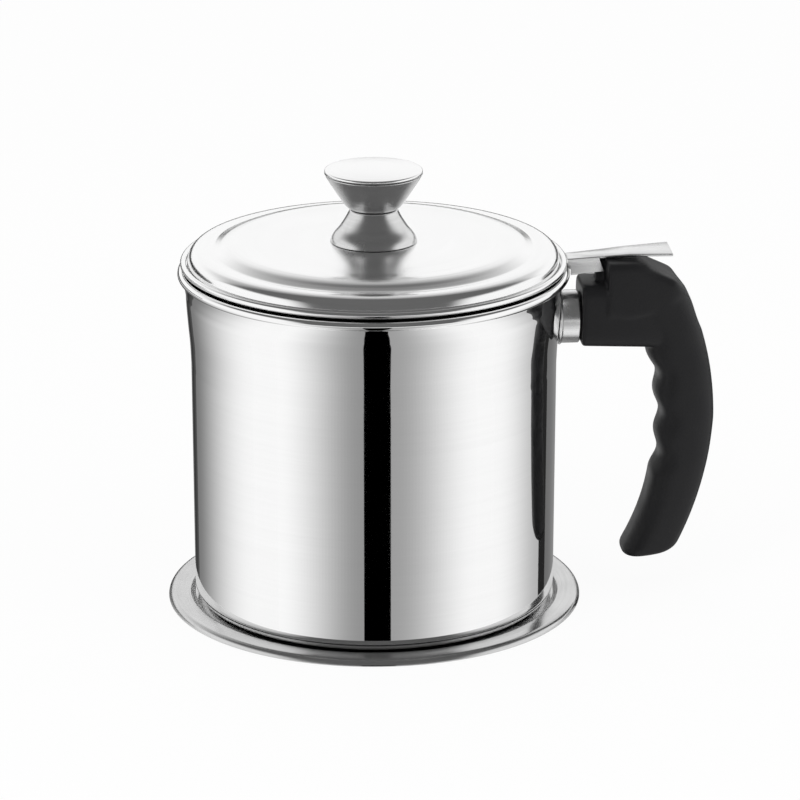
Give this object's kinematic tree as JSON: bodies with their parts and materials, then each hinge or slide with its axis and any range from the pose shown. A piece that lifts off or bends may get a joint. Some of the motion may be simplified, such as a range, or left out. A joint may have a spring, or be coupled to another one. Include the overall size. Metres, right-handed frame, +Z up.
{
  "type": "bacon grease container",
  "caption": "Polished steel pot on a round tray with a black moulded side handle, a lift-out strainer with a thumb tab, and a stepped lid with a conical knob.",
  "frame": {"origin": "centre of the tray's flat underside", "axes": "+Z up the pot's axis, +X towards the handle, +Y to the left of someone who looks along +X"},
  "size_m": [0.1658, 0.1254, 0.1342],
  "materials": {
    "mirror_steel": "mirror-polished stainless steel",
    "polished_steel": "polished stainless steel, a little softer than a mirror",
    "satin_steel": "fine satin, turned or brushed stainless steel",
    "black_plastic": "matte black moulded phenolic"
  },
  "bodies": {
    "tray_body": {"tray": "satin_steel"},
    "pot_body": {"pot_shell": "mirror_steel", "handle_stud": "satin_steel", "handle_ferrule": "satin_steel", "handle_grip": "black_plastic", "handle_washer": "satin_steel", "handle_nut": "satin_steel"},
    "strainer_body": {"strainer_pan": "polished_steel", "strainer_net": "satin_steel", "strainer_ring": "satin_steel", "strainer_tab": "satin_steel"},
    "lid_body": {"lid_shell": "polished_steel", "knob_foot": "satin_steel", "knob_cup": "satin_steel", "knob_cap": "polished_steel", "knob_insert": "satin_steel", "lid_washer": "satin_steel", "lid_screw": "satin_steel"}
  },
  "joints": [
    {"name": "pot_lift", "type": "slide", "parent": "tray_body", "child": "pot_body", "axis": [0, 0, 1], "range_m": [0, 0.06]},
    {"name": "strainer_lift", "type": "slide", "parent": "pot_body", "child": "strainer_body", "axis": [0, 0, 1], "range_m": [0, 0.06]},
    {"name": "lid_lift", "type": "slide", "parent": "strainer_body", "child": "lid_body", "axis": [0, 0, 1], "range_m": [0, 0.06]}
  ]
}
